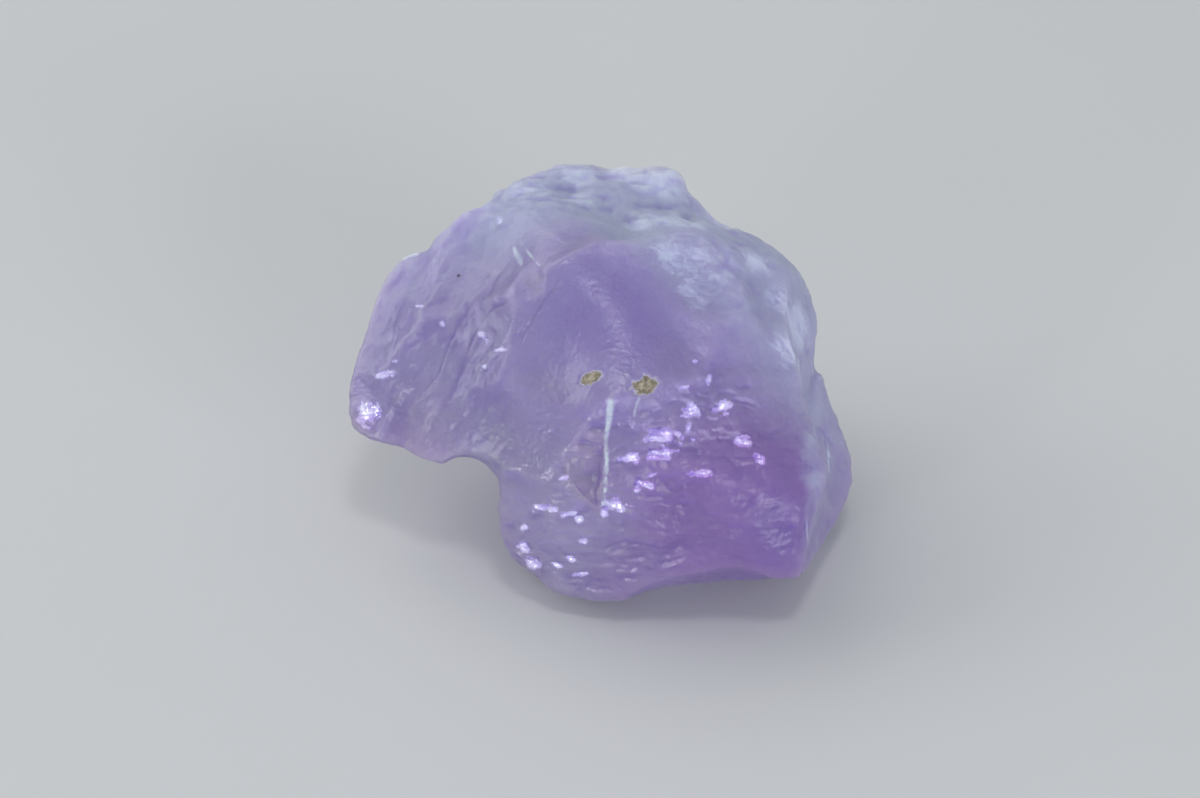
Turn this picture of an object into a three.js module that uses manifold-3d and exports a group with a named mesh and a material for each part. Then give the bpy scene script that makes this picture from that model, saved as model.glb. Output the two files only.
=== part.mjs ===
// A rough, broken crystal of kunzite: one stone, resting on a small flat face.
// Millimetres, +Z up, the resting face on z = 0, the long arm of the stone towards -X and its front -Y.
// The stone is a few convex lumps with flat faces run into one another, bent a little out of true,
// with shell-shaped hollows and one wedge broken out of it. Its skin is a ball wrapped onto that shape.
import * as THREE from 'three';
import { ConvexHull } from 'three/addons/math/ConvexHull.js';
import { mergeVertices } from 'three/addons/utils/BufferGeometryUtils.js';
import Module from 'manifold-3d';

const SKIN_DETAIL = 20; // rows the ball's faces are split into before they are wrapped
const RELAX_ROUNDS = 36; // rounds that even out the triangles along the skin
const RELAX_PULL = 0.6; // how far a corner moves towards its neighbours in one round
const SHARPEN_ROUNDS = 3; // rounds that pull corners onto the ridges
const STAY = 0.15; // how firmly a corner stays where the faces around it leave it free
const LONGEST_SLIDE = 0.3; // longest move of a corner in one round of sharpening
const WEDGE_MIDDLE = new THREE.Vector3(0, -10.5, 12.5); // where the triangles are smallest
const WEDGE_SPREAD = 4.5; // how far from there they grow back to size
const WEDGE_DRAW = 2.5; // how much more the corners there draw the others
const RIDGE_SOFT = 0.1; // rounding of the ridges between two flat faces
const JOIN_SOFT = 0.8; // width over which two lumps run into one another
const HEART = new THREE.Vector3(0, 0, 11); // a point deep inside, from which all the skin is in sight
const REACH = 32; // farther from the heart than any of the skin
const CUT_BLOCK = 60; // side of the block that cuts the resting face flat

// Corners of the lumps. The faces between them are the flat faces of the crystal.
const LUMPS = {
  // the long arm on the left, the smooth plane in the middle and the ledge at its foot
  head: [
    [-16.9, -1.5, 10.2], [-17.1, -3.5, 9.2], [-16, -4.4, 9.5], [-16.3, 1.3, 13.7],
    [-15, 4.8, 17.2], [-13.7, 5.9, 17.4], [-12.1, 6.2, 17.5], [-10.9, -6.3, 9.4],
    [-9.9, -4.3, 15.4], [-3.5, -10.4, 10.7], [-1, -10.1, 13.3], [0.4, -9, 16.1],
    [3.4, -8.1, 17.1], [6.6, -6.7, 17], [8, -3.1, 18.5], [7.6, 0.9, 19.7],
    [-2.6, -0.8, 21.5], [0, 0.7, 21.8], [-13, 8, 13], [-9, 11, 14],
    [-3, 12, 12], [5, 11, 14], [8, 4, 12], [6, -6, 10],
    [-4, -4, 6], [-9, 3, 7.5],
  ],
  // the swelling above the arm
  brow: [
    [-12.2, 5.4, 17.7], [-11.4, 6.4, 18.7], [-9.8, 7.3, 19.6], [-7.6, 7.8, 20.1],
    [-4.7, 8.1, 20.1], [0, 8.9, 19.3], [-10.7, 0.9, 17.2], [-2.6, -0.4, 21.3],
    [0, 0.9, 21.7], [-9, 11, 14], [-3, 12, 12], [5, 11, 14],
    [2, 4, 12], [-6, 0, 12],
  ],
  // the heavy lower body the stone rests on
  body: [
    [13.5, -13.3, 4.5], [2.6, -13, 4.2], [0, -12.7, 3], [13.3, -11.2, 9.5],
    [15.2, -7.8, 9.9], [13.9, -2.8, 13.4], [0, -8.6, 15.4], [3.4, -8.5, 16.9],
    [6.6, -7.2, 16.9], [6.5, -11.8, 12.9], [2.6, -12, 13], [-6.1, -9, 4.4],
    [-5.8, -10, 3.2], [-4.6, -10.8, 2.4], [-3.5, -11.8, 2.2], [-1.7, -12.3, 2.2],
    [-6.6, -7.9, 9.5], [-2.6, -11.6, 10.2], [10, -5.5, -1], [12.5, -2.5, -1],
    [12, 6, -1], [3, 9, -1], [-5, 6, -1], [-5.5, -3.5, -1],
    [0, -6.5, -1], [11, 9, 9], [4, 11, 12], [-5, 9, 10],
  ],
  // the pale crown at the top of the back
  crown: [
    [-8.7, 9.8, 17.8], [-8, 11, 18.1], [-6.5, 12.2, 18.6], [-4.9, 13.6, 18.8],
    [1.4, 15.3, 18.7], [4.4, 14.8, 18.9], [5.9, 13.7, 18.1], [6.3, 12.3, 17.1],
    [-5.4, 6.1, 20.6], [0, 0.3, 21.2], [5.3, 1.5, 20.5], [-7, 12, 11],
    [2, 15, 10], [5, 13, 8], [-3, 11, 5], [-5, 2, 12],
    [6, 0, 12],
  ],
  // the right shoulder
  flank: [
    [3.5, 12.9, 17.9], [7.2, 12.1, 17.8], [8, 11.5, 17.7], [12.2, 9.1, 15.4],
    [13.9, 7.5, 14.6], [14.8, 6, 13.2], [14.8, 2.7, 9.7], [4, 2.9, 21],
    [6.7, 3.3, 20.6], [9.8, 4.2, 18.5], [12.8, 2.4, 16.8], [13.5, -0.1, 15.5],
    [13.6, -2.5, 13.8], [8, -2, 19.3], [6.7, -6.5, 16.8], [2.7, 1.4, 21],
    [12.8, -11.5, 8.5], [9, 13, 10], [13, 10, 6], [8, 10, 4],
    [13, 5, 4], [3, 2, 4], [14, -3, 4], [3, 10, 14],
  ],
  // the bulge low on the right, behind the front edge
  side: [
    [15.2, 1.1, 9], [16.9, -0.8, 6.1], [17, -1.8, 3.9], [16.2, -2.7, 2.9],
    [15.3, -8.4, 3], [15.3, 1.9, 10.4], [12.9, -11, 8], [13.8, -11.8, 3.4],
    [12, 10, 5], [8, 10, -1], [13, 4, -1], [3, 2, 1],
    [13.4, -3, -1], [4, 4, 11],
  ],
  // the back, from behind the arm to the foot
  rear: [
    [-13, 8, 13.5], [-11, 9.5, 15.5], [-7, 12.5, 8], [-8, 12, 14],
    [5, 14, 10.5], [12, 11, 9.5], [9, 10, -1], [-4, 8.5, -1],
    [-7.5, 3, 5], [0, 12, 17], [0, 4, 20], [3, -2, 4],
    [13, 6, 4],
  ],
};

// Corners of the wedge broken out under the ledge: its floor first, then the open side in front.
const WEDGE = [
  [0.4, -9.1, 16.2], [-1.35, -9.9, 13.3], [-2.2, -10.4, 11.9], [-1.6, -11.1, 10.6],
  [0.2, -11.9, 9], [0.4, -10.9, 17.7], [-1.5, -11.8, 15.1], [-2.6, -12.1, 13.3],
  [-1.7, -13, 11.8], [0.2, -13.5, 10.4],
];
const WEDGE_SOFT = 0.12; // rounding of the wedge's rim

// Shell-shaped hollows: both ends of the rounded bar that leaves the hollow, its radius, softness of the rim.
const HOLLOWS = [
  { from: [-9.1, -4.6, 5.7], to: [-8.6, -11.1, 10.8], radius: 2.4, rim: 0.3 }, // under the arm
  { from: [6.9, -19.4, -1.8], to: [6.9, -19.4, -1.8], radius: 9.9, rim: 0.3 }, // front bottom edge
  { from: [9.4, 10.6, 18.7], to: [9.8, 14.5, 18.3], radius: 2.4, rim: 0.3 }, // notch beside the crown
  { from: [-18, -9.7, 16.5], to: [-14.2, -6.6, 22.1], radius: 9, rim: 0.2 }, // arm, front
  { from: [-14.1, -9.2, 18.6], to: [-11.6, -5.3, 23.1], radius: 8, rim: 0.2 },
  { from: [-20.7, -1.5, 25], to: [-15.4, 0.3, 29], radius: 12, rim: 0.2 }, // arm, top
  { from: [-13.9, -3.1, 25.9], to: [-10.4, 2.2, 28.6], radius: 10, rim: 0.2 },
  { from: [-18.9, -13.6, 16.1], to: [-13.1, -15.5, 18.2], radius: 12, rim: 0.2 }, // arm, low front
  { from: [-6.6, 2.4, 22.5], to: [-4.8, -2.7, 21.7], radius: 2.2, rim: 0.1 }, // notch in the brow
  { from: [-9.7, -16.5, 10.4], to: [-7.4, -18.1, 5.5], radius: 8, rim: 0.15 }, // body, left end
  { from: [10.1, -25.2, 15.8], to: [13.4, -23.2, 18.4], radius: 14, rim: 0.2 }, // body, right front
  { from: [7.3, -2.6, 28.1], to: [9.2, -3.1, 27.5], radius: 9, rim: 0.2 }, // shoulder
  { from: [15.7, 1.4, 24.7], to: [17.5, -3.1, 22.8], radius: 9, rim: 0.2 },
  { from: [1.7, 23.8, 9.7], to: [-5.6, 26.3, 11.1], radius: 13, rim: 0.2 }, // back
  { from: [17.6, 22.6, 15.1], to: [10.1, 26.5, 9.2], radius: 14, rim: 0.2 },
  { from: [-4, 24.6, 8], to: [-6.6, 24.7, 8.8], radius: 12, rim: 0.2 },
  { from: [23.4, 0.3, 18.4], to: [23.6, 5.1, 18.9], radius: 11, rim: 0.2 }, // right side
  { from: [23.8, 7.8, 6.6], to: [20.8, 11.8, -0.3], radius: 10, rim: 0.2 },
];

// Slow waves that bend the flat faces: direction and pace, start in x, y and z, and height.
const BENDS = [
  { pace: [0.31, 0.17, -0.22], start: [0.5, 1.9, 4], height: 0.22 },
  { pace: [-0.19, 0.38, 0.24], start: [2.1, 0.3, 5.2], height: 0.2 },
  { pace: [0.55, -0.43, 0.33], start: [1.2, 3.7, 0.4], height: 0.13 },
  { pace: [-0.47, -0.36, 0.62], start: [4.4, 2.6, 1.1], height: 0.12 },
  { pace: [0.9, 0.75, 0.4], start: [0.2, 5, 3.3], height: 0.07 },
  { pace: [-0.7, 0.95, -0.85], start: [3.9, 1.4, 2.2], height: 0.06 },
];

// Growth steps: where a field of them lies, how far it spreads, their pace, their sway and their height.
const STEPS = [
  { middle: [5, -12, 11], spread: 7, pace: [0.25, 0.45, 2.35], sway: [0.55, 0.2, 0.35], height: 0.055 },
  { middle: [5, -13, 6], spread: 7, pace: [-0.2, 0.3, 2.9], sway: [0.6, -0.2, 0.3], height: 0.04 },
  { middle: [-11, -3, 15], spread: 6.5, pace: [1.9, -0.9, -1.2], sway: [0.3, 0.4, 0.5], height: 0.06 },
];
const SWAY = 1.3; // how far the steps wander off straight lines
const SECOND_STEP = 0.3; // share of the finer step that rides on each one

const wasm = await Module();
wasm.setup();

const v = (c) => new THREE.Vector3(...c);

// The outward planes of the convex lump with these corners, near-equal ones once.
function planesOf(corners) {
  const hull = new ConvexHull().setFromPoints(corners.map(v));
  const planes = [];
  for (const face of hull.faces) {
    if (planes.some((p) => p.normal.dot(face.normal) > 0.9995)) continue;
    planes.push({ normal: face.normal.clone(), constant: face.constant });
  }
  return planes;
}

const lumps = Object.values(LUMPS).map(planesOf);
const wedge = planesOf(WEDGE);
const hollows = HOLLOWS.map((h) => ({ ...h, bar: new THREE.Line3(v(h.from), v(h.to)) }));
const bends = BENDS.map((b) => ({ ...b, pace: v(b.pace) }));
const steps = STEPS.map((s) => ({ ...s, middle: v(s.middle), pace: v(s.pace), sway: v(s.sway) }));

const softMax = (a, b, soft) => Math.max(a, b) + Math.max(soft - Math.abs(a - b), 0) ** 2 / (4 * soft);
const softMin = (a, b, soft) => -softMax(-a, -b, soft);

const reach = new Float64Array(200);

// Signed distance to a convex lump, negative inside, its ridges rounded by soft.
function lumpDistance(p, planes, soft) {
  let most = -Infinity;
  for (let i = 0; i < planes.length; i += 1) {
    reach[i] = planes[i].normal.dot(p) - planes[i].constant;
    if (reach[i] > most) most = reach[i];
  }
  let sum = 0;
  for (let i = 0; i < planes.length; i += 1) {
    if (reach[i] > most - 12 * soft) sum += Math.exp((reach[i] - most) / soft);
  }
  return most + soft * Math.log(sum);
}

// The point moved by the bends of the faces.
function bent(p) {
  const q = p.clone();
  for (const b of bends) {
    const t = p.dot(b.pace);
    q.x += b.height * Math.sin(t + b.start[0]);
    q.y += b.height * Math.sin(t * 1.13 + b.start[1]);
    q.z += b.height * Math.sin(t * 1.26 + b.start[2]);
  }
  return q;
}

// Height of the growth steps at a point.
function stepHeight(p) {
  let height = 0;
  for (const s of steps) {
    const fade = Math.exp(-p.distanceToSquared(s.middle) / s.spread ** 2);
    const phase = p.dot(s.pace) + SWAY * Math.sin(p.dot(s.sway) + 1);
    height += s.height * fade * (Math.sin(phase) + SECOND_STEP * Math.sin(2 * phase + 0.8));
  }
  return height;
}

const onBar = new THREE.Vector3();

// Signed distance to the whole stone before its resting face is cut.
function stoneDistance(p) {
  const q = bent(p);
  let d = lumps.map((l) => lumpDistance(q, l, RIDGE_SOFT)).reduce((a, b) => softMin(a, b, JOIN_SOFT));
  d -= stepHeight(p);
  d = softMax(d, -lumpDistance(q, wedge, WEDGE_SOFT / 2), WEDGE_SOFT);
  for (const h of hollows) {
    h.bar.closestPointToPoint(q, true, onBar);
    d = softMax(d, h.radius - q.distanceTo(onBar), h.rim);
  }
  return d;
}

// Outward direction of the skin at a point whose distance is d.
function outward(p, d) {
  const h = 0.02;
  const n = new THREE.Vector3();
  const probe = p.clone();
  for (const axis of ['x', 'y', 'z']) {
    probe[axis] = p[axis] + h;
    n[axis] = stoneDistance(probe) - d;
    probe[axis] = p[axis];
  }
  return n.normalize();
}

// Moves a point straight onto the skin and returns the outward direction there.
function settle(p, times) {
  let n;
  for (let i = 0; i < times; i += 1) {
    const d = stoneDistance(p);
    n = outward(p, d);
    p.addScaledVector(n, -d);
  }
  return n;
}

// Where a ray from the heart leaves the stone, coming in from outside.
function skinPoint(direction) {
  let far = REACH;
  let near = REACH;
  const p = new THREE.Vector3();
  const at = (r) => stoneDistance(p.copy(direction).multiplyScalar(r).add(HEART));
  for (let d = at(near); d > 0 && near > 0; d = at(near)) {
    far = near;
    near -= THREE.MathUtils.clamp(d * 0.7, 0.04, 2);
  }
  for (let i = 0; i < 20; i += 1) {
    const middle = (near + far) / 2;
    if (at(middle) > 0) far = middle;
    else near = middle;
  }
  return direction.clone().multiplyScalar((near + far) / 2).add(HEART);
}

// How strongly a point draws its neighbours: the broken wedge needs the smaller triangles.
const draw = (p) => 1 + WEDGE_DRAW * Math.exp(-p.distanceToSquared(WEDGE_MIDDLE) / WEDGE_SPREAD ** 2);

// One round of evening out: every corner slides along the skin towards its neighbours.
function relax(corners, neighbours) {
  const draws = corners.map(draw);
  const moved = corners.map((corner, i) => {
    const mean = new THREE.Vector3();
    let weight = 0;
    for (const j of neighbours[i]) {
      const share = (corner.distanceTo(corners[j]) + 0.05) * draws[j];
      mean.addScaledVector(corners[j], share);
      weight += share;
    }
    const d = stoneDistance(corner);
    const n = outward(corner, d);
    const pull = mean.divideScalar(weight).sub(corner).multiplyScalar(RELAX_PULL);
    return corner.clone().add(pull.addScaledVector(n, -pull.dot(n))).addScaledVector(n, -d);
  });
  moved.forEach((corner, i) => corners[i].copy(corner));
}

// Pulls corners onto the ridges: each goes where the flat faces of its triangles meet.
function sharpen(corners, triangles) {
  const sums = corners.map(() => ({ a: new Array(9).fill(0), b: new THREE.Vector3() }));
  const centre = new THREE.Vector3();
  for (const triangle of triangles) {
    centre.set(0, 0, 0);
    for (const i of triangle) centre.addScaledVector(corners[i], 1 / 3);
    const n = settle(centre, 2).toArray();
    const level = centre.x * n[0] + centre.y * n[1] + centre.z * n[2];
    for (const i of triangle) {
      for (let k = 0; k < 9; k += 1) sums[i].a[k] += n[Math.floor(k / 3)] * n[k % 3];
      sums[i].b.x += n[0] * level;
      sums[i].b.y += n[1] * level;
      sums[i].b.z += n[2] * level;
    }
  }
  corners.forEach((corner, i) => {
    const { a, b } = sums[i];
    for (const k of [0, 4, 8]) a[k] += STAY;
    const target = b.addScaledVector(corner, STAY).applyMatrix3(new THREE.Matrix3().set(...a).invert());
    const step = target.sub(corner).clampLength(0, LONGEST_SLIDE);
    corner.add(step);
  });
}

// The skin: a ball of even triangles wrapped onto the stone, evened out along it, then sharpened.
function skinGeometry() {
  const ball = new THREE.IcosahedronGeometry(1, SKIN_DETAIL);
  ball.deleteAttribute('normal');
  ball.deleteAttribute('uv');
  const geometry = mergeVertices(ball, 1e-5);
  const position = geometry.attributes.position;
  const corners = [];
  for (let i = 0; i < position.count; i += 1) {
    corners.push(skinPoint(new THREE.Vector3().fromBufferAttribute(position, i).normalize()));
  }
  const neighbours = corners.map(() => new Set());
  const triangles = [];
  for (let i = 0; i < geometry.index.count; i += 3) {
    const triangle = [0, 1, 2].map((k) => geometry.index.getX(i + k));
    triangles.push(triangle);
    for (const k of [0, 1, 2]) {
      neighbours[triangle[k]].add(triangle[(k + 1) % 3]);
      neighbours[triangle[k]].add(triangle[(k + 2) % 3]);
    }
  }
  for (let round = 0; round < RELAX_ROUNDS; round += 1) relax(corners, neighbours);
  for (let round = 0; round < SHARPEN_ROUNDS; round += 1) sharpen(corners, triangles);
  corners.forEach((corner, i) => position.setXYZ(i, corner.x, corner.y, corner.z));
  return geometry;
}

function solidOf(geometry) {
  const plain = geometry.clone();
  plain.deleteAttribute('normal');
  plain.deleteAttribute('uv');
  const merged = mergeVertices(plain, 1e-5);
  const triVerts = new Uint32Array(merged.index.array);
  const vertProperties = merged.attributes.position.array;
  return new wasm.Manifold(new wasm.Mesh({ numProp: 3, vertProperties, triVerts }));
}

function geometryOf(solid) {
  const mesh = solid.getMesh();
  const geometry = new THREE.BufferGeometry();
  geometry.setAttribute('position', new THREE.BufferAttribute(new Float32Array(mesh.vertProperties), 3));
  geometry.setIndex(new THREE.BufferAttribute(new Uint32Array(mesh.triVerts), 1));
  const flat = geometry.toNonIndexed();
  flat.computeVertexNormals();
  return flat;
}

const block = new THREE.BoxGeometry(CUT_BLOCK, CUT_BLOCK, CUT_BLOCK).translate(0, 0, -CUT_BLOCK / 2);
const stone = solidOf(skinGeometry()).subtract(solidOf(block));

const crystal = new THREE.Mesh(
  geometryOf(stone),
  new THREE.MeshStandardMaterial({ color: 0x8a74b4, roughness: 0.3, metalness: 0 }),
);
crystal.name = 'crystal';

const kunzite = new THREE.Group();
kunzite.name = 'kunzite_crystal';
kunzite.add(crystal);

export default kunzite;
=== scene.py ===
import math
from itertools import combinations

import bpy
import numpy as np
from mathutils import Matrix


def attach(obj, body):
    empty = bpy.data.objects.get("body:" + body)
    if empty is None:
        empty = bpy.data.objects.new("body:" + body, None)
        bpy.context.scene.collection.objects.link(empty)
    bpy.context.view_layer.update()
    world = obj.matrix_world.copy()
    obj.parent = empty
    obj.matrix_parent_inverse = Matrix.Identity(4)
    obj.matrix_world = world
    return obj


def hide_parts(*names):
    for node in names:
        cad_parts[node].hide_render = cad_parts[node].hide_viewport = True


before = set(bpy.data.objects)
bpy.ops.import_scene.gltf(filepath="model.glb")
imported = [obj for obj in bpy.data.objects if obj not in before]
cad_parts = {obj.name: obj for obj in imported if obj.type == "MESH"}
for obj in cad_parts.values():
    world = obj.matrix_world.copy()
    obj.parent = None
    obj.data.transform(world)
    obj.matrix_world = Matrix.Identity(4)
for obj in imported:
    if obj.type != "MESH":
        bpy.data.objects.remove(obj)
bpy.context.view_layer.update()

MM = 0.001

# ---------------------------------------------------------------- shape of the stone, millimetres
# The same lumps, wedge, hollows, bends and steps that part.mjs wraps its skin on.
LUMPS = {
    "head": [
        (-16.9, -1.5, 10.2), (-17.1, -3.5, 9.2), (-16, -4.4, 9.5), (-16.3, 1.3, 13.7),
        (-15, 4.8, 17.2), (-13.7, 5.9, 17.4), (-12.1, 6.2, 17.5), (-10.9, -6.3, 9.4),
        (-9.9, -4.3, 15.4), (-3.5, -10.4, 10.7), (-1, -10.1, 13.3), (0.4, -9, 16.1),
        (3.4, -8.1, 17.1), (6.6, -6.7, 17), (8, -3.1, 18.5), (7.6, 0.9, 19.7),
        (-2.6, -0.8, 21.5), (0, 0.7, 21.8), (-13, 8, 13), (-9, 11, 14),
        (-3, 12, 12), (5, 11, 14), (8, 4, 12), (6, -6, 10), (-4, -4, 6), (-9, 3, 7.5)],
    "brow": [
        (-12.2, 5.4, 17.7), (-11.4, 6.4, 18.7), (-9.8, 7.3, 19.6), (-7.6, 7.8, 20.1),
        (-4.7, 8.1, 20.1), (0, 8.9, 19.3), (-10.7, 0.9, 17.2), (-2.6, -0.4, 21.3),
        (0, 0.9, 21.7), (-9, 11, 14), (-3, 12, 12), (5, 11, 14), (2, 4, 12), (-6, 0, 12)],
    "body": [
        (13.5, -13.3, 4.5), (2.6, -13, 4.2), (0, -12.7, 3), (13.3, -11.2, 9.5),
        (15.2, -7.8, 9.9), (13.9, -2.8, 13.4), (0, -8.6, 15.4), (3.4, -8.5, 16.9),
        (6.6, -7.2, 16.9), (6.5, -11.8, 12.9), (2.6, -12, 13), (-6.1, -9, 4.4),
        (-5.8, -10, 3.2), (-4.6, -10.8, 2.4), (-3.5, -11.8, 2.2), (-1.7, -12.3, 2.2),
        (-6.6, -7.9, 9.5), (-2.6, -11.6, 10.2), (10, -5.5, -1), (12.5, -2.5, -1),
        (12, 6, -1), (3, 9, -1), (-5, 6, -1), (-5.5, -3.5, -1), (0, -6.5, -1),
        (11, 9, 9), (4, 11, 12), (-5, 9, 10)],
    "crown": [
        (-8.7, 9.8, 17.8), (-8, 11, 18.1), (-6.5, 12.2, 18.6), (-4.9, 13.6, 18.8),
        (1.4, 15.3, 18.7), (4.4, 14.8, 18.9), (5.9, 13.7, 18.1), (6.3, 12.3, 17.1),
        (-5.4, 6.1, 20.6), (0, 0.3, 21.2), (5.3, 1.5, 20.5), (-7, 12, 11),
        (2, 15, 10), (5, 13, 8), (-3, 11, 5), (-5, 2, 12), (6, 0, 12)],
    "flank": [
        (3.5, 12.9, 17.9), (7.2, 12.1, 17.8), (8, 11.5, 17.7), (12.2, 9.1, 15.4),
        (13.9, 7.5, 14.6), (14.8, 6, 13.2), (14.8, 2.7, 9.7), (4, 2.9, 21),
        (6.7, 3.3, 20.6), (9.8, 4.2, 18.5), (12.8, 2.4, 16.8), (13.5, -0.1, 15.5),
        (13.6, -2.5, 13.8), (8, -2, 19.3), (6.7, -6.5, 16.8), (2.7, 1.4, 21),
        (12.8, -11.5, 8.5), (9, 13, 10), (13, 10, 6), (8, 10, 4), (13, 5, 4),
        (3, 2, 4), (14, -3, 4), (3, 10, 14)],
    "side": [
        (15.2, 1.1, 9), (16.9, -0.8, 6.1), (17, -1.8, 3.9), (16.2, -2.7, 2.9),
        (15.3, -8.4, 3), (15.3, 1.9, 10.4), (12.9, -11, 8), (13.8, -11.8, 3.4),
        (12, 10, 5), (8, 10, -1), (13, 4, -1), (3, 2, 1), (13.4, -3, -1), (4, 4, 11)],
    "rear": [
        (-13, 8, 13.5), (-11, 9.5, 15.5), (-7, 12.5, 8), (-8, 12, 14), (5, 14, 10.5),
        (12, 11, 9.5), (9, 10, -1), (-4, 8.5, -1), (-7.5, 3, 5), (0, 12, 17),
        (0, 4, 20), (3, -2, 4), (13, 6, 4)],
}
WEDGE = [
    (0.4, -9.1, 16.2), (-1.35, -9.9, 13.3), (-2.2, -10.4, 11.9), (-1.6, -11.1, 10.6),
    (0.2, -11.9, 9), (0.4, -10.9, 17.7), (-1.5, -11.8, 15.1), (-2.6, -12.1, 13.3),
    (-1.7, -13, 11.8), (0.2, -13.5, 10.4)]
# Hollows: both ends of the bar, radius, softness of the rim.
HOLLOWS = [
    ((-9.1, -4.6, 5.7), (-8.6, -11.1, 10.8), 2.4, 0.3),
    ((6.9, -19.4, -1.8), (6.9, -19.4, -1.8), 9.9, 0.3),
    ((9.4, 10.6, 18.7), (9.8, 14.5, 18.3), 2.4, 0.3),
    ((-18, -9.7, 16.5), (-14.2, -6.6, 22.1), 9, 0.2),
    ((-14.1, -9.2, 18.6), (-11.6, -5.3, 23.1), 8, 0.2),
    ((-20.7, -1.5, 25), (-15.4, 0.3, 29), 12, 0.2),
    ((-13.9, -3.1, 25.9), (-10.4, 2.2, 28.6), 10, 0.2),
    ((-18.9, -13.6, 16.1), (-13.1, -15.5, 18.2), 12, 0.2),
    ((-6.6, 2.4, 22.5), (-4.8, -2.7, 21.7), 2.2, 0.1),
    ((-9.7, -16.5, 10.4), (-7.4, -18.1, 5.5), 8, 0.15),
    ((10.1, -25.2, 15.8), (13.4, -23.2, 18.4), 14, 0.2),
    ((7.3, -2.6, 28.1), (9.2, -3.1, 27.5), 9, 0.2),
    ((15.7, 1.4, 24.7), (17.5, -3.1, 22.8), 9, 0.2),
    ((1.7, 23.8, 9.7), (-5.6, 26.3, 11.1), 13, 0.2),
    ((17.6, 22.6, 15.1), (10.1, 26.5, 9.2), 14, 0.2),
    ((-4, 24.6, 8), (-6.6, 24.7, 8.8), 12, 0.2),
    ((23.4, 0.3, 18.4), (23.6, 5.1, 18.9), 11, 0.2),
    ((23.8, 7.8, 6.6), (20.8, 11.8, -0.3), 10, 0.2),
]
# Bends: pace, start in x, y and z, height.
BENDS = [
    ((0.31, 0.17, -0.22), (0.5, 1.9, 4), 0.22), ((-0.19, 0.38, 0.24), (2.1, 0.3, 5.2), 0.2),
    ((0.55, -0.43, 0.33), (1.2, 3.7, 0.4), 0.13), ((-0.47, -0.36, 0.62), (4.4, 2.6, 1.1), 0.12),
    ((0.9, 0.75, 0.4), (0.2, 5, 3.3), 0.07), ((-0.7, 0.95, -0.85), (3.9, 1.4, 2.2), 0.06)]
# Growth steps: middle, spread, pace, sway, height.
STEPS = [
    ((5, -12, 11), 7, (0.25, 0.45, 2.35), (0.55, 0.2, 0.35), 0.055),
    ((5, -13, 6), 7, (-0.2, 0.3, 2.9), (0.6, -0.2, 0.3), 0.04),
    ((-11, -3, 15), 6.5, (1.9, -0.9, -1.2), (0.3, 0.4, 0.5), 0.06)]
RIDGE_SOFT = 0.1  # rounding of the edges of a lump
JOIN_SOFT = 0.8  # rounding where two lumps meet
WEDGE_SOFT = 0.12
SWAY = 1.3
SECOND_STEP = 0.3


def planes_of(corners):
    """Outward normals and constants of the convex hull's faces."""
    pts = np.array(corners, float)
    middle = pts.mean(0)
    normals, constants = [], []
    for i, j, k in combinations(range(len(pts)), 3):
        n = np.cross(pts[j] - pts[i], pts[k] - pts[i])
        size = np.linalg.norm(n)
        if size < 1e-6:
            continue
        n /= size
        c = n @ pts[i]
        if n @ middle > c:
            n, c = -n, -c
        if (pts @ n - c).max() < 1e-6 and not any(n @ m > 0.9995 for m in normals):
            normals.append(n)
            constants.append(c)
    return np.array(normals), np.array(constants)


LUMP_PLANES = [planes_of(c) for c in LUMPS.values()]
WEDGE_PLANES = planes_of(WEDGE)


def soft_max(a, b, soft):
    """The larger of the two, rounded over where they are close."""
    return np.maximum(a, b) + np.maximum(soft - np.abs(a - b), 0) ** 2 / (4 * soft)


def soft_min(a, b, soft):
    return -soft_max(-a, -b, soft)


def unit_rows(v):
    return v / np.maximum(np.linalg.norm(v, axis=1, keepdims=True), 1e-12)


def lump_distance(q, planes, soft):
    """Distance outside a lump, with its edges rounded."""
    d = q @ planes[0].T - planes[1]
    most = d.max(1)
    return most + soft * np.log(np.exp(np.maximum((d - most[:, None]) / soft, -40)).sum(1))


def bent(p):
    """Places shifted by the bends."""
    q = p.copy()
    for pace, start, height in BENDS:
        t = p @ np.array(pace)
        for axis in range(3):
            q[:, axis] += height * np.sin(t * (1 + 0.13 * axis) + start[axis])
    return q


def step_height(p):
    out = np.zeros(len(p))
    for middle, spread, pace, sway, height in STEPS:
        fade = np.exp(-((p - np.array(middle)) ** 2).sum(1) / spread**2)
        phase = p @ np.array(pace) + SWAY * np.sin(p @ np.array(sway) + 1)
        out += height * fade * (np.sin(phase) + SECOND_STEP * np.sin(2 * phase + 0.8))
    return out


def along(p, line):
    """Distance from p to a line of points, and how far along the line that is, 0 to 1."""
    line = np.array(line, float)
    spans = np.linalg.norm(np.diff(line, axis=0), axis=1)
    best = np.full(len(p), 1e9)
    share = np.zeros(len(p))
    for k, span in enumerate(spans):
        bar = line[k + 1] - line[k]
        t = np.clip((p - line[k]) @ bar / span**2, 0, 1)
        d = np.linalg.norm(p - line[k] - t[:, None] * bar, axis=1)
        closer = d < best
        best[closer] = d[closer]
        share[closer] = (spans[:k].sum() + t[closer] * span) / spans.sum()
    return best, share


# The wedge runs out softly along its lower left edge.
TIP = [(-2.7, -10.8, 11.6), (-1.5, -11.4, 10.4), (0.1, -11.8, 9.2)]
TIP_FILL = 0.3
TIP_REACH = 1.1


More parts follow.
